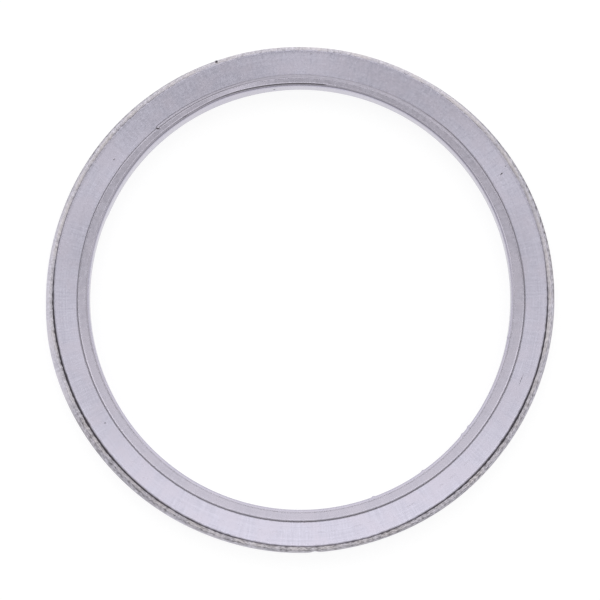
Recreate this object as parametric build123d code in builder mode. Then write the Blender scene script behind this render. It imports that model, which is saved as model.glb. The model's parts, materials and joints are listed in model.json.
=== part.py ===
from build123d import *
import math
import os

# A metal-clad ring gasket for one port of an exhaust manifold.
#
# The jacket is a channel folded from thin stainless sheet. It makes the back face and both walls. At the
# bore its edge is folded out flat over the front as a lip, and at the outside its edge is crimped in to
# make the rim. The cover ring, of the same sheet, closes the front: its inner edge lies under the lip,
# and its outer edge is coined to a bevel that the rim holds down. A soft filler ring is shut in between.
#
# The gasket lies on its back face. The origin is on the axis at the back face, and +Z is the axis, up
# through the front. Each section is drawn in the XZ plane and revolved about Z.

# Overall sizes, in millimetres
bore_diameter = 50.0
ring_width = 5.0  # from the bore to the outside
gasket_height = 3.0  # from the back face to the top of the lip

# Jacket
jacket_sheet = 0.40
bend_tightening = 0.02  # how much smaller the outside radius is in a bend's second half
lip_width = 1.35  # from the bore to the lip's cut edge
rim_angle = 45.0  # how far the outer wall is crimped in, in degrees
rim_width = 0.45  # inside width of the crimped stretch
rim_below_lip = 0.19  # from the top of the lip down to the top of the rim

# Cover ring and filler, which are cut to the same two diameters
cover_sheet = 0.40
bore_wall_gap = 0.05  # between the bore wall and the rings inside the jacket
rim_gap = 0.05  # between the cover's bevel and the rim over it

# Split in the lip, which tore as it was stretched outwards
split_angle = 130.0  # from +X towards +Y, in degrees
split_length = 0.40
split_width = 0.08

# Inside of the jacket
bore_radius = bore_diameter / 2
outside_radius = bore_radius + ring_width
inner_wall = bore_radius + jacket_sheet
outer_wall = outside_radius - jacket_sheet
lip_edge = bore_radius + lip_width
lip_underside = gasket_height - jacket_sheet

# Rim: the crimped stretch leans in from rim_start, and its cut edge is square to it
up_the_rim = Vector(0, 1).rotate(Axis.Z, rim_angle)
square_to_rim = Vector(1, 0).rotate(Axis.Z, rim_angle)
rim_top = gasket_height - rim_below_lip
rim_start = rim_top - jacket_sheet * square_to_rim.Y - rim_width * up_the_rim.Y

# Rings inside the jacket: the cover's bevel follows the inside of the rim
cover_underside = lip_underside - cover_sheet
ring_inner = inner_wall + bore_wall_gap
under_the_rim = Vector(outer_wall, rim_start) - square_to_rim * rim_gap
rim_slope = math.tan(math.radians(rim_angle))
bevel_start = under_the_rim.X - (lip_underside - under_the_rim.Y) * rim_slope
ring_outer = under_the_rim.X - (cover_underside - under_the_rim.Y) * rim_slope

# Quarter bend: the sheet's outside turns in two halves, of which the second is tighter
half_bend = 45.0
last_radius = jacket_sheet - bend_tightening
bend_start = jacket_sheet * math.sin(math.radians(half_bend)) + last_radius * (
    1 - math.cos(math.radians(half_bend))
)


def quarter_bend(sheet):
    """Turn the outside of the sheet where a straight stretch ends, bend_start short of its corner."""
    first = JernArc(sheet @ 1, sheet % 1, jacket_sheet, half_bend)
    return JernArc(first @ 1, first % 1, last_radius, half_bend)


with BuildPart() as jacket:
    with BuildSketch(Plane.XZ):
        with BuildLine():
            inside = Polyline(
                (lip_edge, lip_underside),
                (inner_wall, lip_underside),
                (inner_wall, jacket_sheet),
                (outer_wall, jacket_sheet),
                (outer_wall, rim_start),
                Vector(outer_wall, rim_start) + up_the_rim * rim_width,
            )
            lip = Line((lip_edge, gasket_height), (bore_radius + bend_start, gasket_height))
            lip_fold = quarter_bend(lip)
            bore_wall = Line(lip_fold @ 1, (bore_radius, bend_start))
            bore_corner = quarter_bend(bore_wall)
            back = Line(bore_corner @ 1, (outside_radius - bend_start, 0))
            outside_corner = quarter_bend(back)
            wall = Line(outside_corner @ 1, (outside_radius, rim_start))
            crimp = JernArc(wall @ 1, wall % 1, jacket_sheet, rim_angle)
            rim = Line(crimp @ 1, crimp @ 1 + up_the_rim * rim_width)
            Line(lip @ 0, inside @ 0)
            Line(rim @ 1, inside @ 1)
        make_face()
    revolve(axis=Axis.Z)
    with BuildSketch(Plane.XY.offset(gasket_height)):
        with PolarLocations(lip_edge, 1, start_angle=split_angle):
            SlotOverall(2 * split_length, split_width)
    extrude(amount=-jacket_sheet, mode=Mode.SUBTRACT)

with BuildPart() as cover_ring:
    with BuildSketch(Plane.XZ):
        with BuildLine():
            Polyline(
                (ring_inner, cover_underside),
                (ring_outer, cover_underside),
                (bevel_start, lip_underside),
                (ring_inner, lip_underside),
                close=True,
            )
        make_face()
    revolve(axis=Axis.Z)

with BuildPart() as filler:
    with BuildSketch(Plane.XY.offset(jacket_sheet)):
        Circle(ring_outer)
        Circle(ring_inner, mode=Mode.SUBTRACT)
    extrude(amount=cover_underside - jacket_sheet)

jacket.part.label = "jacket"
cover_ring.part.label = "cover_ring"
filler.part.label = "filler"

os.makedirs("parts", exist_ok=True)
export_step(jacket.part, "parts/jacket.step")
export_step(cover_ring.part, "parts/cover_ring.step")
export_step(filler.part, "parts/filler.step")
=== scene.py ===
import json
import math

import bpy
import numpy as np
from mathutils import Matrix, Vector


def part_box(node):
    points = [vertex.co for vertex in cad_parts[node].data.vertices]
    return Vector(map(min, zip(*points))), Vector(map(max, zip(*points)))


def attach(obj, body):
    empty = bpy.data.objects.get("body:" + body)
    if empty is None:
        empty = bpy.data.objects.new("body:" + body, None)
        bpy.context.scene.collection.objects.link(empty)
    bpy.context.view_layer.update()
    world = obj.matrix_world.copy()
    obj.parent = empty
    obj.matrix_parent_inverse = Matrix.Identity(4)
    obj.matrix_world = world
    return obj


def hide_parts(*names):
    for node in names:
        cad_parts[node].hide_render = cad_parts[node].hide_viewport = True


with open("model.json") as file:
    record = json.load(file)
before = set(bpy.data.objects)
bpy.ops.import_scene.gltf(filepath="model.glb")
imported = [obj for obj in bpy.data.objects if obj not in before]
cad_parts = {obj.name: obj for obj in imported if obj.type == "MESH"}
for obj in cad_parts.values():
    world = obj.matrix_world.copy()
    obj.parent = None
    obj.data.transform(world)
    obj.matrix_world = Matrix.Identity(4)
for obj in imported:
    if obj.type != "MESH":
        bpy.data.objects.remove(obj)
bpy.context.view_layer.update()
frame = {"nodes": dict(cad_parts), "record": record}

# A metal-clad ring gasket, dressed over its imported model: the folded steel jacket, the cover ring that
# closes it, and the graphite filler inside.
#
# Sizes are in millimetres and turn to metres where a mesh or a node takes them. Azimuths are in degrees
# from +X towards +Y.

MM = 0.001

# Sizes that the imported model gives
OUTSIDE_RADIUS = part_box("jacket")[1].x / MM
LIP_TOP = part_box("jacket")[1].z / MM
BAND_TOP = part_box("cover_ring")[1].z / MM
BAND_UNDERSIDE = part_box("cover_ring")[0].z / MM
BAND_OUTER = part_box("cover_ring")[1].x / MM
BORE_RADIUS = next(
    mount["dims"]["r_mm"] for mount in frame["record"]["mounts"] if mount["name"] == "bore"
)
SHEET = LIP_TOP - BAND_TOP
INNER_WALL = BORE_RADIUS + SHEET
BORE_WALL_GAP = 0.05  # between the bore's wall and the cover ring

# The rings are turned up from loops of this many points, about 0.16 mm apart at the outside
LOOP_POINTS = 1200
AZIMUTH = np.arange(LOOP_POINTS) * 360.0 / LOOP_POINTS


# Curves round the ring


def eased(*stops, softness=4.0):
    """A value at every azimuth, straight between (azimuth, value) stops, with its corners rounded."""
    degrees, values = zip(*sorted(stops))
    line = np.interp(AZIMUTH, degrees, values, period=360.0)
    waves = np.fft.rfft(line)
    turns = np.arange(len(waves))
    return np.fft.irfft(waves * np.exp(-0.5 * (turns * math.radians(softness)) ** 2), LOOP_POINTS)


def swells(*places):
    """Rises that fall away on both sides, each at an azimuth, with a half width in degrees and a size."""
    total = np.zeros(LOOP_POINTS)
    for azimuth, half_width, size in places:
        away = (AZIMUTH - azimuth + 180.0) % 360.0 - 180.0
        total += size * np.exp(-((away / half_width) ** 2))
    return total


def uneven(seed, size, coarsest, finest):
    """A random wander round the ring, its waves between two lengths in mm at the outside."""
    random = np.random.RandomState(seed)
    round_the_ring = 2 * math.pi * OUTSIDE_RADIUS
    turns = np.arange(LOOP_POINTS // 2 + 1)
    kept = (turns >= round_the_ring / coarsest) & (turns <= round_the_ring / finest)
    phases = np.exp(2j * math.pi * random.rand(len(turns)))
    wave = np.fft.irfft(kept * phases, LOOP_POINTS)
    return size * wave / wave.std()


# Sections


class Section:
    """A ring's section as a closed chain of loops. Each has a radius and a height at every azimuth."""

    def __init__(self):
        self.radii = []
        self.heights = []
        self.finishes = []
        # darkening at each loop: marks and wear, and painted shade in seams, creases and on the wall
        self.dirt_and_shade = []

    def loop(self, radius, height, finish, dirt_and_shade=0.0):
        """Add a loop. The finish is that of the strip from this loop to the next."""
        self.radii.append(radius + np.zeros(LOOP_POINTS))
        self.heights.append(height + np.zeros(LOOP_POINTS))
        self.finishes.append(finish)
        self.dirt_and_shade.append(dirt_and_shade + np.zeros(LOOP_POINTS))

    def bend(self, radius, height, size, turns, finish, dirt_and_shade=0.0):
        """Add loops round an arc. A turn of 0 degrees lies outwards of its centre, and 90 above it."""
        for turn in turns:
            angle = np.radians(turn)
            self.loop(radius + size * np.cos(angle), height + size * np.sin(angle), finish, dirt_and_shade)

    def turned(self, name, finishes):
        """Make the mesh of the whole ring, and give each strip its finish."""
        radii = np.array(self.radii)
        heights = np.array(self.heights)
        loops, points = radii.shape
        around = np.radians(AZIMUTH)
        places = np.stack([radii * np.cos(around), radii * np.sin(around), heights], axis=-1) * MM
        here = np.arange(loops)[:, None] * points + np.arange(points)[None, :]
        ahead = np.roll(here, -1, axis=1)
        quads = np.stack(
            [here, np.roll(here, -1, axis=0), np.roll(ahead, -1, axis=0), ahead], axis=-1
        ).reshape(-1, 4)
        mesh = bpy.data.meshes.new(name)
        mesh.from_pydata(places.reshape(-1, 3).tolist(), [], quads.tolist())
        names = sorted(set(self.finishes))
        for finish in names:
            mesh.materials.append(finishes[finish])
        numbers = np.repeat([names.index(finish) for finish in self.finishes], points)
        mesh.polygons.foreach_set("material_index", numbers.astype(np.int32))
        mesh.polygons.foreach_set("use_smooth", np.ones(len(quads), bool))
        # The darkening, partly painted shade, goes to the material as a point attribute
        dirt_and_shade = mesh.attributes.new("dirt_and_shade", "FLOAT", "POINT")
        dirt_and_shade.data.foreach_set("value", np.array(self.dirt_and_shade, np.float32).ravel())
        mesh.update()
        ring = bpy.data.objects.new(name, mesh)
        bpy.context.scene.collection.objects.link(ring)
        return ring


# The ring as it was pressed: not quite round, with each edge's own wander. Each line of stops holds an
# azimuth and a size in mm, which changes evenly from stop to stop.

OUTSIDE_SWELL = (
    (0, 0.0), (30, 0.03), (50, -0.02), (72, -0.08), (92, -0.05), (112, 0.03), (140, 0.02), (160, -0.06),
    (182, 0.0), (190, 0.17), (200, 0.14), (212, 0.06), (230, 0.01), (250, -0.03), (268, 0.02), (285, -0.04),
    (305, -0.01), (325, -0.04),
)
BORE_SWELL = (
    (0, -0.12), (30, 0.0), (60, 0.12), (90, 0.16), (120, 0.12), (150, -0.05), (180, -0.13), (210, -0.16),
    (240, -0.02), (270, 0.05), (300, 0.03), (330, -0.09),
)
FOLD_SHIFT = (  # how much further out than the bore's wall the lip's fold lies
    (58, 0.0), (65, 0.02), (79, 0.05), (86, 0.0), (93, 0.01), (100, 0.06), (107, 0.15), (114, 0.17),
    (121, 0.07), (128, 0.09), (135, 0.11), (142, 0.06), (149, 0.02), (158, 0.0),
)
LIP_EDGE_RADII = (
    (0, 26.43), (12, 26.36), (32, 26.34), (48, 26.45), (70, 26.44), (92, 26.54), (129.9, 26.47),
    (130.4, 26.28), (150, 26.25), (175, 26.21), (200, 26.27), (225, 26.36), (245, 26.44), (265, 26.44),
    (300, 26.385), (320, 26.42),
)
SEAM_RADII = (
    (0, 29.20), (20, 29.27), (35, 29.32), (50, 29.36), (60, 29.44), (75, 29.52), (90, 29.58), (105, 29.56),
    (120, 29.44), (135, 29.32), (150, 29.28), (160, 29.24), (170, 29.19), (180, 29.14), (190, 29.10),
    (200, 29.07), (212, 29.07), (230, 29.13), (240, 29.17), (250, 29.27), (270, 29.39), (290, 29.41),
    (300, 29.32), (310, 29.29), (330, 29.20), (345, 29.20),
)
SEAM_WIDTHS = (
    (0, 0.085), (10, 0.03), (22, 0.01), (156, 0.01), (170, 0.045), (180, 0.11), (190, 0.155), (200, 0.17),
    (210, 0.18), (222, 0.16), (235, 0.11), (250, 0.095), (265, 0.06), (290, 0.08), (300, 0.10),
    (310, 0.125), (320, 0.16), (330, 0.19), (340, 0.13), (350, 0.12),
)

lip_edge = eased(*LIP_EDGE_RADII, softness=0.3) + uneven(3, 0.006, 30, 0.6)
seam = eased(*SEAM_RADII, softness=3)
seam_gap = eased(*SEAM_WIDTHS, softness=3) * np.clip(1 + uneven(6, 0.12, 9, 0.8), 0.5, 1.5)


# The jacket

RIM_START = 2.21  # height at which the outer wall starts to lean in
CREASE_DEPTH = 0.04
LIP_FLAT = 0.38  # from the lip's edge to its flat stretch

# The lip beside its sheared edge, as distances in from the edge and down from the top, then its groove,
# with painted shade at the edge and in the groove as well
LIP_CORNER = ((0.0, 0.08), (0.02, 0.03), (0.06, 0.005), (0.20, 0.0))
LIP_GROOVE = ((0.25, 0.02, 0.35), (0.29, 0.05, 0.75), (0.33, 0.02, 0.35))

# The bend at the bore, from the lip down to the wall, as turns with the crease's share and the finish. The
# crease's share also sets the painted shade in the crease.
BORE_BEND = (
    (93, 0.25, "lip"), (97, 0.7, "lip"), (102, 1, "lip"), (108, 1, "lip"), (114, 0.7, "lip"),
    (120, 0.35, "bore"), (127, 0.1, "bore"), (135, 0, "bore"), (143, 0, "bore"), (152, 0, "bore"),
    (162, 0, "bore"), (171, 0, "bore"), (180, 0, "bore"),
)
SHADE_END = 100  # turns of that bend at which its painted shade ends, and its burrs and the bore's darkening start
BURR_START = 110
DARKENING_START = 140

# The turns of the two bends into the back
BORE_CORNER = (195, 210, 225, 240, 255, 270)
OUTER_CORNER = (-75, -60, -45, -30, -15, 0)

# The rim's bend as shares of its lean and of the soot and painted shade, and from which share the tool
# rubbed it. Then its loops as shares up its width and across the sheet, over the cut face to its inner
# edge.
RIM_BEND = ((0.15, 0.4), (0.3, 0.5), (0.45, 0.65), (0.6, 0.8), (0.8, 0.9), (1.0, 0.8))
RUBBED_FROM = 0.8
RIM_LOOPS = (
    (0.3, 1), (0.6, 1), (0.9, 1), (1, 0.97), (1, 0.85), (1, 0.7), (1, 0.55), (1, 0.4), (1, 0.2), (1, 0.05),
    (1, 0.02),
)

# Damage as an azimuth, a half width in degrees and a size, which is in mm but for the crease's share
CREASE_NICK = (122.4, 0.9, 0.4)
BORE_BURRS = tuple((azimuth, 0.4, 0.11) for azimuth in (290, 305, 319.6, 322.3, 349))
OUTSIDE_BURR = (109.4, 0.4, 0.06)
OUTSIDE_DENT = (273.3, 0.7, -0.13)


def fold_out_lip(section, fold, sag):
    """The lip, from its sheared edge over its groove to the fold at the bore."""
    doubled = eased(
        (0, 0.0), (36, 0.0), (46, 0.3), (75, 0.35), (100, 0.6), (112, 0.9), (129.9, 1.0), (130.2, 0.0),
        (359, 0.0), softness=0.3,
    )
    # Painted shade along the lip's edge, for the dark crevice at its foot
    painted_shade = eased((20, 0.0), (50, 0.25), (110, 0.25), (130, 0.0))
    section.loop(INNER_WALL, BAND_TOP, "wall")
    # The lip's cut edge and its corner are painted dark as shade
    section.loop(lip_edge, BAND_TOP, "cut", dirt_and_shade=1.0)
    for (inside, drop), dirt_and_shade in zip(LIP_CORNER, (0.8, 0.4 + painted_shade, painted_shade, 0.3 * painted_shade)):
        section.loop(lip_edge - inside, LIP_TOP - drop, "lip" if inside else "cut", dirt_and_shade)
    # The groove is painted dark as shade
    for inside, depth, dirt_and_shade in LIP_GROOVE:
        section.loop(lip_edge - inside, LIP_TOP - depth * doubled, "lip", dirt_and_shade * doubled)
    flat = lip_edge - LIP_FLAT
    for share in np.linspace(0, 1, 8):
        section.loop(flat + (fold - flat) * share, LIP_TOP - sag * share, "lip")


def fold_down_bore(section, fold, sag, bore):
    """The bend from the lip into the bore, creased over part of the way round, and the bore's wall. Painted
    shade darkens the crease and the start of the bend.
    """
    # The crease's depth, which also paints shade into the crease, stronger where the light is brighter
    crease_and_shade = swells(CREASE_NICK) + eased(
        (0, 0.1), (20, 0.0), (30, 0.05), (60, 0.05), (82.6, 0.1), (83.4, 0.9), (100, 0.9), (108, 0.8),
        (120, 0.4), (135, 0.3), (150, 0.3), (165, 0.2), (180, 0.25), (210, 0.12), (230, 0.0), (340, 0.0),
        softness=0.3,
    )
    # Painted shade over the bend's start, which dims its highlight
    painted_shade = eased(
        (0, 0.1), (8, 0.2), (15, 0.45), (40, 0.4), (75, 0.35), (90, 0.0), (110, 0.0), (125, 0.15),
        (160, 0.3), (200, 0.0),
    )
    # Darkens the bend's far part and the bore's wall, more towards 0, 200 and 330 degrees
    bore_darkening = eased((0, 0.06), (60, 0.0), (170, 0.0), (200, 0.06), (240, 0.02), (300, 0.02), (330, 0.12))
    burrs = swells(*BORE_BURRS)
    for turn, depth, finish in BORE_BEND:
        size = SHEET - CREASE_DEPTH * crease_and_shade * depth - sag * (finish == "lip")
        dirt_and_shade = np.maximum(crease_and_shade * depth, painted_shade * (turn < SHADE_END)) + bore_darkening * (turn > DARKENING_START)
        section.bend(fold - burrs * (turn > BURR_START), BAND_TOP, size, (turn,), finish, dirt_and_shade)
    for share in np.linspace(0, 1, 8)[1:]:
        radius = (fold - SHEET) * (1 - share) + bore * share
        section.loop(radius, BAND_TOP + (SHEET - BAND_TOP) * share, "bore", bore_darkening)


def fold_up_outside(section, outside):
    """The back, the outer wall, and the rim that leans in over the cover ring, with its torn edge. Soot and
    painted shade darken the wall and the bend, the tool scuffed the rim, with painted shade over the
    scuffs, and painted shade from the seam lies on its inner edge."""
    # Partly soot, partly painted shade that darkens the wall and the bend by azimuth
    soot_and_shade = eased(
        (0, 0.9), (15, 1.3), (45, 1.2), (60, 1.0), (75, 0.7), (105, 0.7), (120, 1.0), (150, 1.1),
        (165, 0.25), (180, 0.05), (203, 0.05), (208, 0.65), (225, 0.6), (240, 0.3), (265, 0.6),
        (283, 0.95), (300, 0.9), (320, 0.65), (335, 0.5), (350, 0.55), softness=1.5,
    )
    # The tool's scuffs on the rim, made stronger from 208 to 335 degrees as painted shade
    scuffs_and_shade = eased(
        (0, 0.35), (16, 0.3), (22, 0.45), (42, 0.4), (48, 0.2), (60, 0.25), (75, 0.45), (105, 0.45),
        (120, 0.25), (188, 0.2), (203, 0.3), (208, 0.9), (235, 0.85), (255, 0.95), (300, 0.95), (335, 0.85),
        (352, 0.45), softness=1.5,
    )
    # Painted shade from the seam's crevice on the rim's inner edge
    seam_edge_shade = eased(
        (0, 0.3), (15, 0.0), (165, 0.0), (175, 0.4), (188, 1.2), (203, 1.2), (212, 0.8), (225, 0.5),
        (285, 0.5), (300, 0.3), (330, 0.5), (345, 0.1),
    )
    start = RIM_START - eased(
        (0, 0.0), (170, 0.0), (180, 0.12), (190, 0.47), (200, 0.53), (212, 0.34), (225, 0.16), (235, 0.0)
    )
    width = eased(
        (0, 0.60), (15, 0.53), (30, 0.50), (50, 0.45), (65, 0.39), (115, 0.39), (132, 0.50), (150, 0.50),
        (165, 0.55), (180, 0.72), (190, 1.12), (200, 1.16), (212, 0.95), (225, 0.70), (235, 0.60),
        (330, 0.60),
    )
    rounded = eased((0, 0.06), (30, 0.12), (90, 0.16), (150, 0.12), (190, 0.03), (340, 0.03))
    corner = seam + seam_gap / 2 + uneven(5, 0.007, 14, 0.5)
    torn = uneven(7, 0.02, 14, 0.5)
    fold = outside - SHEET
    lean = np.arcsin(np.clip((fold - corner) / width, 0, 0.95))

    for share in np.linspace(0, 1, 6)[1:]:
        section.loop(INNER_WALL + (fold - INNER_WALL) * share, 0.0, "wall")
    section.bend(fold, SHEET, SHEET, OUTER_CORNER, "wall")
    for share in np.linspace(0, 1, 8)[1:]:
        section.loop(outside, SHEET + (start - SHEET) * share, "wall", soot_and_shade * (0.15 + 0.25 * share ** 3))
    for share, darkened_share in RIM_BEND:
        finish = "rim" if share >= RUBBED_FROM else "wall"
        section.bend(fold, start, SHEET, (np.degrees(lean) * share,), finish, soot_and_shade * darkened_share)
    for up, across in RIM_LOOPS:
        along = (width + torn) * up - rounded * across ** 2
        section.loop(
            fold + SHEET * across * np.cos(lean) - along * np.sin(lean),
            start + SHEET * across * np.sin(lean) + along * np.cos(lean),
            "rim" if across == 1 else "cut",
            soot_and_shade + (scuffs_and_shade - soot_and_shade) * up + seam_edge_shade * (1 - across) ** 1.5,
        )
    section.loop(fold, start, "wall")
    section.loop(fold, SHEET, "wall")


def jacket(finishes):
    """The folded jacket, from under its lip round the bore, the back and the outside to the rim. Where it
    is creased, the fold lies further out and the lip sags towards it."""
    section = Section()
    bore = BORE_RADIUS + eased(*BORE_SWELL, softness=6)
    fold = bore + SHEET + eased(*FOLD_SHIFT, softness=1.5)
    sag = eased((92, 0.0), (100, 0.018), (108, 0.025), (116, 0.006), (125, 0.004), (140, 0.0), softness=2)
    bore = bore - eased((144, 0.0), (149, 0.02), (156.4, 0.05), (157.2, 0.0), softness=0.3)
    fold_out_lip(section, fold, sag)
    fold_down_bore(section, fold, sag, bore)
    section.bend(bore + SHEET, SHEET, SHEET, BORE_CORNER, "wall")

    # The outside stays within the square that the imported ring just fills
    outside = OUTSIDE_RADIUS + eased(*OUTSIDE_SWELL, softness=3) + swells(OUTSIDE_DENT, OUTSIDE_BURR)
    square = np.maximum(abs(np.cos(np.radians(AZIMUTH))), abs(np.sin(np.radians(AZIMUTH))))
    fold_up_outside(section, np.minimum(outside, OUTSIDE_RADIUS / square))
    section.loop(INNER_WALL, SHEET, "wall")
    return section.turned("folded_jacket", finishes)


# The cover ring

UNDER_LIP = 0.05  # how far in under the lip's edge the band keeps its sunk places
SHADE_FADE = ((0.1, 0.95), (0.33, 0.75), (0.67, 0.38), (1, 0.0))  # over the width of the painted shade by the lip

# Where the band is sunk, as an azimuth, a half width in degrees and a depth
SUNK_PLACES = ((28, 18, 0.075), (89, 13, 0.062), (152, 18, 0.08), (201, 16, 0.04), (339, 16, 0.02))

# A fine line scribed round the band: its radii, then its half width and the room for it on each side, as
# shares of the band's flat stretch
SCRIBED_RADII = ((90, 27.3), (270, 27.75))
SCRIBED_HALF = 0.04
SCRIBED_ROOM = 0.05

# The band's outer edge, where the tool pressed it down beside the seam
ROLLED_EDGE = 0.28
ROLLED_DROP = 0.045
EDGE_SHADE = ((0.2, 0.07), (0.4, 0.15), (0.6, 0.26), (0.8, 0.45), (1, 0.8))  # painted shade over its width, where the rim shades the band
# the seam's floor, painted dark as shade
SEAM_FLOOR_SHADE = 0.85


def cover(finishes):
    """The cover ring: the smooth band between the lip and the rim, bevelled at its outer edge."""
    section = Section()
    band_edge = seam - seam_gap / 2
    # Painted shade on the band beside the lip's edge, for the dark crevice at its foot
    painted_shade = eased(
        (0, 0.75), (36, 0.95), (50, 1.0), (70, 0.5), (82, 0.4), (92, 0.6), (120, 1.0), (150, 1.2),
        (180, 0.75), (200, 0.60), (240, 0.55), (270, 0.75), (300, 0.68), (325, 0.56), (338, 0.66),
        (350, 0.72),
    )
    shade_width = eased(
        (0, 0.27), (20, 0.26), (45, 0.25), (60, 0.18), (175, 0.18), (188, 0.27), (204, 0.24), (218, 0.14),
        (262, 0.14), (285, 0.16), (325, 0.16), (337, 0.27),
    )
    sunk = swells(*SUNK_PLACES)
    section.loop(INNER_WALL + BORE_WALL_GAP, BAND_UNDERSIDE, "band")
    section.loop(INNER_WALL + BORE_WALL_GAP, BAND_TOP, "band")
    section.loop(lip_edge - UNDER_LIP, BAND_TOP - sunk, "band", painted_shade)
    for share, left in SHADE_FADE:
        section.loop(lip_edge + shade_width * share, BAND_TOP - sunk, "band", painted_shade * left)

    # Loops stand close together at the scribed line, which is worn in only here and there
    start = lip_edge + shade_width
    flat = band_edge - ROLLED_EDGE - start
    scribed = (eased(*SCRIBED_RADII) - start) / flat
    worn = eased(
        (0, 0.0), (85, 0.0), (95, 0.08), (150, 0.07), (160, 0.0), (258, 0.0), (266, 0.07), (320, 0.06),
        (328, 0.0),
    ) * np.clip(uneven(8, 1.0, 12, 1.5), 0, 1.5)
    across = [(scribed - SCRIBED_ROOM) * share for share in np.linspace(0, 1, 6)[1:-1]]
    across += [scribed + step for step in (-SCRIBED_ROOM, -SCRIBED_HALF / 2, 0, SCRIBED_HALF / 2)]
    outer = scribed + SCRIBED_ROOM
    across += [outer + (1 - outer) * share for share in np.linspace(0, 1, 14)]
    for share in across:
        line = np.clip(1 - abs(share - scribed) / SCRIBED_HALF, 0, 1)
        section.loop(start + share * flat, BAND_TOP - sunk * (1 - share), "band", worn * line)

    # The seam is shut where its gap is 0.01 mm, and counts as open from 0.1 mm on
    openness = np.clip((seam_gap - 0.01) / 0.09, 0.15, 1.05)
    # The rolled edge darkens towards the seam with painted shade, more where the seam is open
    for share, dirt_and_shade in EDGE_SHADE:
        drop = ROLLED_DROP * openness * share ** 3
        section.loop(start + flat + ROLLED_EDGE * share, BAND_TOP - drop, "band", dirt_and_shade * openness)

    # The seam's floor, which runs on under the rim, and the bevel's foot, both painted dark as shade
    floor = BAND_TOP - ROLLED_DROP * openness
    floor_shade = SEAM_FLOOR_SHADE * openness
    section.loop(band_edge + seam_gap * 0.4, floor - seam_gap * 0.5, "band", floor_shade)
    section.loop(band_edge + seam_gap + 0.05, floor - seam_gap * 0.6, "band", floor_shade)
    section.loop(np.minimum(band_edge + seam_gap + 0.3, BAND_OUTER), BAND_UNDERSIDE, "band", dirt_and_shade=1.0)
    return section.turned("cover_band", finishes)


# Materials


def colour(code):
    """An sRGB hex colour as linear red, green, blue and alpha."""
    shares = [int(code[place:place + 2], 16) / 255 for place in (1, 3, 5)]
    return [s / 12.92 if s <= 0.04045 else ((s + 0.055) / 1.055) ** 2.4 for s in shares] + [1.0]


def add(tree, kind, settings=None, **links):
    """Add one node with its settings. Each link goes to the input of its name or number, and brings a
    value, an output, or a node, of which the first output in use is taken."""
    node = tree.nodes.new(kind)
    for name, value in (settings or {}).items():
        setattr(node, name, value)
    for name, value in links.items():
        place = int(name[1:]) if name[0] == "_" and name[1:].isdigit() else name.replace("_", " ")
        if isinstance(value, bpy.types.Node):
            value = next(output for output in value.outputs if output.enabled)
        if isinstance(value, bpy.types.NodeSocket):
            tree.links.new(value, node.inputs[place])
        else:
            node.inputs[place].default_value = value
    return node


def blank_material(name):
    """A material with an empty node tree."""
    material = bpy.data.materials.new(name)
    material.use_nodes = True
    material.node_tree.nodes.clear()
    return material


def ring_places(tree):
    """Places in mm, the same flattened to the ring's plane and drawn to a length of 1, and the radius."""
    metres = add(tree, "ShaderNodeTexCoord").outputs["Object"]
    place = add(tree, "ShaderNodeVectorMath", {"operation": "SCALE"}, _0=metres, Scale=1 / MM)
    flat = add(tree, "ShaderNodeVectorMath", {"operation": "MULTIPLY"}, _0=place, _1=(1, 1, 0))
    heading = add(tree, "ShaderNodeVectorMath", {"operation": "NORMALIZE"}, _0=flat)
    radius = add(tree, "ShaderNodeVectorMath", {"operation": "LENGTH"}, _0=flat)
    return place, heading, radius


def lines(tree, heading, across, length, width):
    """Noise drawn out into fine lines, long round the ring and narrow across it, or the other way."""
    mean_radius = (BORE_RADIUS + OUTSIDE_RADIUS) / 2
    around = add(
        tree, "ShaderNodeVectorMath", {"operation": "SCALE"}, _0=heading, Scale=mean_radius / length
    )
    crossing = add(tree, "ShaderNodeMath", {"operation": "DIVIDE"}, _0=across, _1=width)
    crossing = add(tree, "ShaderNodeCombineXYZ", Z=crossing)
    place = add(tree, "ShaderNodeVectorMath", {"operation": "ADD"}, _0=around, _1=crossing)
    return add(tree, "ShaderNodeTexNoise", Vector=place, Scale=1.0, Detail=2.0)


def nicks(tree, place, marks):
    """Where a tool or a grain of dirt marked the sheet: 1 in the middle of a mark, 0 beside them all."""
    marked = 0.0
    for x, y, height, turn, length, width in marks:
        moved = add(
            tree, "ShaderNodeMapping", {"vector_type": "TEXTURE"}, Vector=place, Location=(x, y, height),
            Rotation=(0, 0, math.radians(turn)), Scale=(length / 2, width / 2, width),
        )
        away = add(tree, "ShaderNodeVectorMath", {"operation": "LENGTH"}, _0=moved)
        here = add(
            tree, "ShaderNodeMapRange", Value=away, From_Min=1.2, From_Max=0.5, To_Min=0.0, To_Max=1.0
        )
        marked = add(tree, "ShaderNodeMath", {"operation": "MAXIMUM"}, _0=here, _1=marked)
    return marked


# Sizes of the patterns in mm. The lines that a roll or a die leaves are finer than a pixel, and are drawn
# as wide as they need to show.
CLOUD_SIZE = 2.2
CIRCLE_LINE_LENGTH = 16.0
CIRCLE_LINE_WIDTH = 0.14
RADIAL_LINE_WIDTH = 0.22
RADIAL_LINE_LENGTH = 2.5
DASH_LENGTH = 0.4
DASH_WIDTH = 0.14
FLAKE_SIZE = 0.4

# A dark colour mixed in for dirt and marks, and for painted shade in seams, creases and on the wall
DIRT_AND_SHADE_COLOUR = "#3A3439"
DIRT_AND_SHADE_ROUGHNESS = 0.4  # how much rougher it is than the steel


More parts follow.
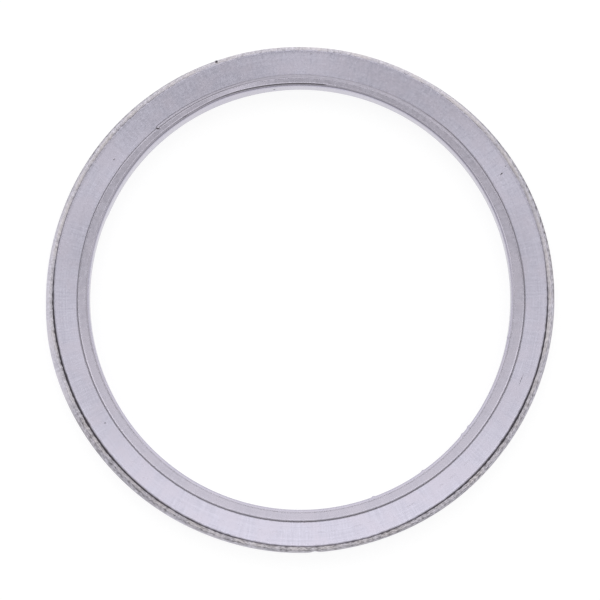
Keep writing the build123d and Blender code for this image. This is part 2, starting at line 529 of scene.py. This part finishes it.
def stainless(name, light, dark, warm, roughness, grain_size, grain, streak, relief, marks=(), scuffed=0.0):
    """Stainless steel sheet. The tool's lines and the grain move its tone between two colours, and clouds
    of a warmer one lie over them. The mesh darkens it with marks and wear, and with painted shade in seams,
    creases and on the outer wall; on a scuffed finish this breaks up into dashes."""
    material = blank_material(name)
    tree = material.node_tree
    place, heading, radius = ring_places(tree)
    speckle = add(tree, "ShaderNodeTexNoise", Vector=place, Scale=1 / grain_size, Detail=3.0)
    round_lines = lines(tree, heading, radius, CIRCLE_LINE_LENGTH, CIRCLE_LINE_WIDTH)
    cross_lines = lines(tree, heading, radius, RADIAL_LINE_WIDTH, RADIAL_LINE_LENGTH)
    both = add(tree, "ShaderNodeMath", {"operation": "ADD"}, _0=round_lines, _1=cross_lines)
    tone = add(
        tree, "ShaderNodeMapRange", Value=both, From_Min=0.8, From_Max=1.2,
        To_Min=0.5 - streak, To_Max=0.5 + streak,
    )
    grains = add(
        tree, "ShaderNodeMapRange", Value=speckle, From_Min=0.35, From_Max=0.65, To_Min=-grain, To_Max=grain
    )
    tone = add(tree, "ShaderNodeMath", {"operation": "ADD", "use_clamp": True}, _0=tone, _1=grains)
    base = add(tree, "ShaderNodeMix", {"data_type": "RGBA"}, _0=tone, _6=colour(dark), _7=colour(light))
    cloud = add(tree, "ShaderNodeTexNoise", Vector=place, Scale=1 / CLOUD_SIZE, Detail=2.0)
    cloud = add(
        tree, "ShaderNodeMapRange", Value=cloud, From_Min=0.42, From_Max=0.62, To_Min=0.0, To_Max=0.8
    )
    base = add(tree, "ShaderNodeMix", {"data_type": "RGBA"}, _0=cloud, _6=base, _7=colour(warm))
    # Darkening from the mesh: real marks and wear, and painted shade
    dirt_and_shade = add(tree, "ShaderNodeAttribute", {"attribute_name": "dirt_and_shade"}).outputs["Fac"]
    if scuffed:
        height = add(tree, "ShaderNodeSeparateXYZ", Vector=place).outputs["Z"]
        across = add(tree, "ShaderNodeMath", {"operation": "MULTIPLY_ADD"}, _0=height, _1=2.0, _2=radius)
        dashes = add(
            tree, "ShaderNodeMapRange", Value=lines(tree, heading, across, DASH_LENGTH, DASH_WIDTH),
            From_Min=0.42, From_Max=0.66, To_Min=0.15, To_Max=scuffed,
        )
        dirt_and_shade = add(tree, "ShaderNodeMath", {"operation": "MULTIPLY"}, _0=dirt_and_shade, _1=dashes)
    if marks:
        marked = nicks(tree, place, marks)
        dirt_and_shade = add(tree, "ShaderNodeMath", {"operation": "MAXIMUM"}, _0=dirt_and_shade, _1=marked)
    # The dark colour goes in as dirt, and as painted shade
    base = add(tree, "ShaderNodeMix", {"data_type": "RGBA"}, _0=dirt_and_shade, _6=base, _7=colour(DIRT_AND_SHADE_COLOUR))
    dullness = add(
        tree, "ShaderNodeMapRange", Value=speckle, From_Min=0.3, From_Max=0.7,
        To_Min=roughness * 0.9, To_Max=roughness * 1.1,
    )
    dullness = add(
        tree, "ShaderNodeMath", {"operation": "MULTIPLY_ADD"}, _0=dirt_and_shade, _1=DIRT_AND_SHADE_ROUGHNESS, _2=dullness
    )
    bare = add(tree, "ShaderNodeMath", {"operation": "SUBTRACT"}, _0=1.0, _1=dirt_and_shade)
    bumps = add(tree, "ShaderNodeBump", Strength=0.5, Distance=relief * MM, Height=speckle)
    metal = add(
        tree, "ShaderNodeBsdfPrincipled", Base_Color=base, Metallic=bare, Roughness=dullness, Normal=bumps
    )
    add(tree, "ShaderNodeOutputMaterial", Surface=metal)
    return material


def pressed_graphite():
    """Flexible graphite, pressed from flakes: dark grey and dull, with a faint sheen of its flakes."""
    material = blank_material("pressed_graphite")
    tree = material.node_tree
    place = ring_places(tree)[0]
    flakes = add(tree, "ShaderNodeTexVoronoi", Vector=place, Scale=1 / FLAKE_SIZE)
    base = add(
        tree, "ShaderNodeMix", {"data_type": "RGBA"}, _0=flakes, _6=colour("#3B3B3E"), _7=colour("#232325")
    )
    solid = add(tree, "ShaderNodeBsdfPrincipled", Base_Color=base, Metallic=0.0, Roughness=0.55)
    add(tree, "ShaderNodeOutputMaterial", Surface=solid)
    return material


# Marks as the x, y and z of their middle, the turn of their long side in degrees, their length and width
BAND_MARKS = (
    (23.84, 14.70, BAND_TOP, 38, 0.42, 0.16), (-22.03, 16.42, BAND_TOP, 20, 0.30, 0.12),
    (-22.91, -14.85, BAND_TOP, 0, 0.18, 0.18), (1.27, 29.09, BAND_TOP, 10, 0.24, 0.08),
    (25.97, -9.80, BAND_TOP, 68, 1.60, 0.05), (24.36, 15.63, BAND_TOP, 30, 0.20, 0.10),
)
LIP_MARKS = ((-16.90, 20.06, LIP_TOP, -10, 0.72, 0.20), (26.09, -5.17, LIP_TOP, 75, 0.40, 0.14))
BORE_MARKS = ((-3.06, 24.95, 1.6, 8, 0.26, 0.22),)
RIM_MARKS = (
    (-9.94, 28.14, 2.6, 19, 0.40, 0.34), (-18.79, -22.83, 2.7, 50, 0.36, 0.16),
    (-18.45, -23.25, 2.7, 130, 0.30, 0.10),
)

finishes = {
    # Cold rolled and bright annealed: smooth and even, with faint lines across it
    "band": stainless(
        "bright_rolled_stainless", "#D1CEDD", "#C3C0CF", "#CDC8D6", roughness=0.25, grain_size=0.25,
        grain=0.05, streak=0.40, relief=0.0002, marks=BAND_MARKS,
    ),
    # The same sheet, stretched over the bore's edge: slightly mottled and greyer
    "lip": stainless(
        "stretched_stainless", "#C5C1CE", "#B4B0BC", "#C0BBC7", roughness=0.26, grain_size=0.45,
        grain=0.12, streak=0.20, relief=0.0003, marks=LIP_MARKS,
    ),
    # Sheared and left as torn: pale and grainy, with a few dark dashes
    "cut": stainless(
        "sheared_stainless", "#E6E2EB", "#C2BEC7", "#DBD5D8", roughness=0.45, grain_size=0.16,
        grain=0.55, streak=0.10, relief=0.003, marks=RIM_MARKS, scuffed=0.60,
    ),
    # Rubbed by the tool that crimped it: dull, with dark dashes along it
    "rim": stainless(
        "crimped_stainless", "#DEDBE7", "#C0BCC8", "#D3CED7", roughness=0.35, grain_size=0.20,
        grain=0.35, streak=0.30, relief=0.003, marks=RIM_MARKS, scuffed=1.0,
    ),
    # Burnished by the punch: the smoothest face, which mirrors what it stands on
    "bore": stainless(
        "burnished_stainless", "#C9C5D4", "#B9B5C5", "#C3BECC", roughness=0.25, grain_size=0.30,
        grain=0.15, streak=0.20, relief=0.001, marks=BORE_MARKS,
    ),
    # Drawn through the die: satin, with fine lines across the wall
    "wall": stainless(
        "drawn_stainless", "#D2CEDC", "#C1BDCA", "#CAC5D0", roughness=0.30, grain_size=0.25,
        grain=0.15, streak=0.20, relief=0.001, marks=RIM_MARKS,
    ),
}

for piece, node, slot in (
    (jacket(finishes), "jacket", "jacket_sheet"), (cover(finishes), "cover_ring", "cover_sheet")
):
    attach(piece, "root")
    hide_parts(node)

filler = frame["nodes"]["filler"]
filler.data.materials.clear()
filler.data.materials.append(pressed_graphite())


# Camera, light and floor

CAMERA_DISTANCE = 420.0
CAMERA_TILT = math.radians(6.3)
FRAME_WIDTH = 71.17  # of the photo's frame at the ring
SENSOR_WIDTH = 36.0
AIM = (-0.012, -0.036, 0.0)

# How the studio's light changes along one axis of the heading, as the axis, where the change starts and
# ends, and the levels before and after it. The lamp's level is its front's times its back's. It takes
# the place of the room's where overhead and near are both 1.
STUDIO = {
    "lamp_front": ("Y", -0.24, 0.01, 0.35, 1.0),
    "lamp_back": ("Y", -0.06, 0.185, 2.10, 0.18),
    "room": ("Y", -0.6, 0.6, 0.42, 1.2),
    "overhead": ("Z", 0.55, 0.9, 0.0, 1.0),
    "near": ("Y", 0.20, 0.32, 1.0, 0.0),
}

TABLE_HALF = 2000.0  # half its side
TABLE_GLOW = 0.82  # what the studio's light lacks of the photo's white


def photo_camera():
    """A long lens that looks down on the ring, from a little towards the picture's bottom."""
    lens = bpy.data.cameras.new("photo_camera")
    lens.sensor_width = SENSOR_WIDTH
    lens.lens = SENSOR_WIDTH * CAMERA_DISTANCE / FRAME_WIDTH
    lens.clip_start = CAMERA_DISTANCE * MM / 100
    camera = bpy.data.objects.new("photo_camera", lens)
    back = Vector((0, -math.sin(CAMERA_TILT), math.cos(CAMERA_TILT)))
    camera.location = (Vector(AIM) + back * CAMERA_DISTANCE) * MM
    camera.rotation_euler = (CAMERA_TILT, 0, 0)
    bpy.context.scene.collection.objects.link(camera)
    bpy.context.scene.camera = camera


def studio_light():
    """A soft studio as the world: a broad lamp just to -Y of overhead, in a room that brightens to +Y."""
    world = bpy.data.worlds.new("soft_studio")
    world.use_nodes = True
    tree = world.node_tree
    tree.nodes.clear()
    heading = add(tree, "ShaderNodeTexCoord").outputs["Generated"]
    axes = add(tree, "ShaderNodeSeparateXYZ", Vector=heading).outputs
    light = {
        part: add(
            tree, "ShaderNodeMapRange", {"interpolation_type": "SMOOTHSTEP"}, Value=axes[axis],
            From_Min=start, From_Max=end, To_Min=before, To_Max=after,
        )
        for part, (axis, start, end, before, after) in STUDIO.items()
    }
    lamp = add(
        tree, "ShaderNodeMath", {"operation": "MULTIPLY"}, _0=light["lamp_front"], _1=light["lamp_back"]
    )
    overhead = add(
        tree, "ShaderNodeMath", {"operation": "MULTIPLY"}, _0=light["overhead"], _1=light["near"]
    )
    level = add(tree, "ShaderNodeMix", {"data_type": "FLOAT"}, _0=overhead, _2=light["room"], _3=lamp)
    sky = add(tree, "ShaderNodeBackground", Color=colour("#FFFFFF"), Strength=level)
    add(tree, "ShaderNodeOutputWorld", Surface=sky)
    bpy.context.scene.world = world


def white_table():
    """A white table that glows enough to be the photo's white ground, and still takes a soft shadow."""
    material = blank_material("white_table")
    tree = material.node_tree
    rays = add(tree, "ShaderNodeLightPath").outputs
    seen = rays["Is Camera Ray"]
    for kind in ("Is Glossy Ray", "Is Transmission Ray"):
        seen = add(tree, "ShaderNodeMath", {"operation": "MAXIMUM"}, _0=seen, _1=rays[kind])
    glow = add(tree, "ShaderNodeEmission", Color=colour("#FFFFFF"), Strength=TABLE_GLOW)
    paint = add(tree, "ShaderNodeBsdfDiffuse", Color=colour("#898989"))
    lit = add(tree, "ShaderNodeAddShader", _0=glow, _1=paint)
    plain = add(tree, "ShaderNodeBsdfDiffuse", Color=colour("#E7E7E7"))
    top = add(tree, "ShaderNodeMixShader", _0=seen, _1=plain, _2=lit)
    add(tree, "ShaderNodeOutputMaterial", Surface=top)
    half = TABLE_HALF * MM
    mesh = bpy.data.meshes.new("white_table")
    corners = [(-half, -half, 0), (half, -half, 0), (half, half, 0), (-half, half, 0)]
    mesh.from_pydata(corners, [], [(0, 1, 2, 3)])
    mesh.materials.append(material)
    table = bpy.data.objects.new("white_table", mesh)
    bpy.context.scene.collection.objects.link(table)


photo_camera()
studio_light()
white_table()
bpy.context.scene.view_settings.view_transform = "Standard"
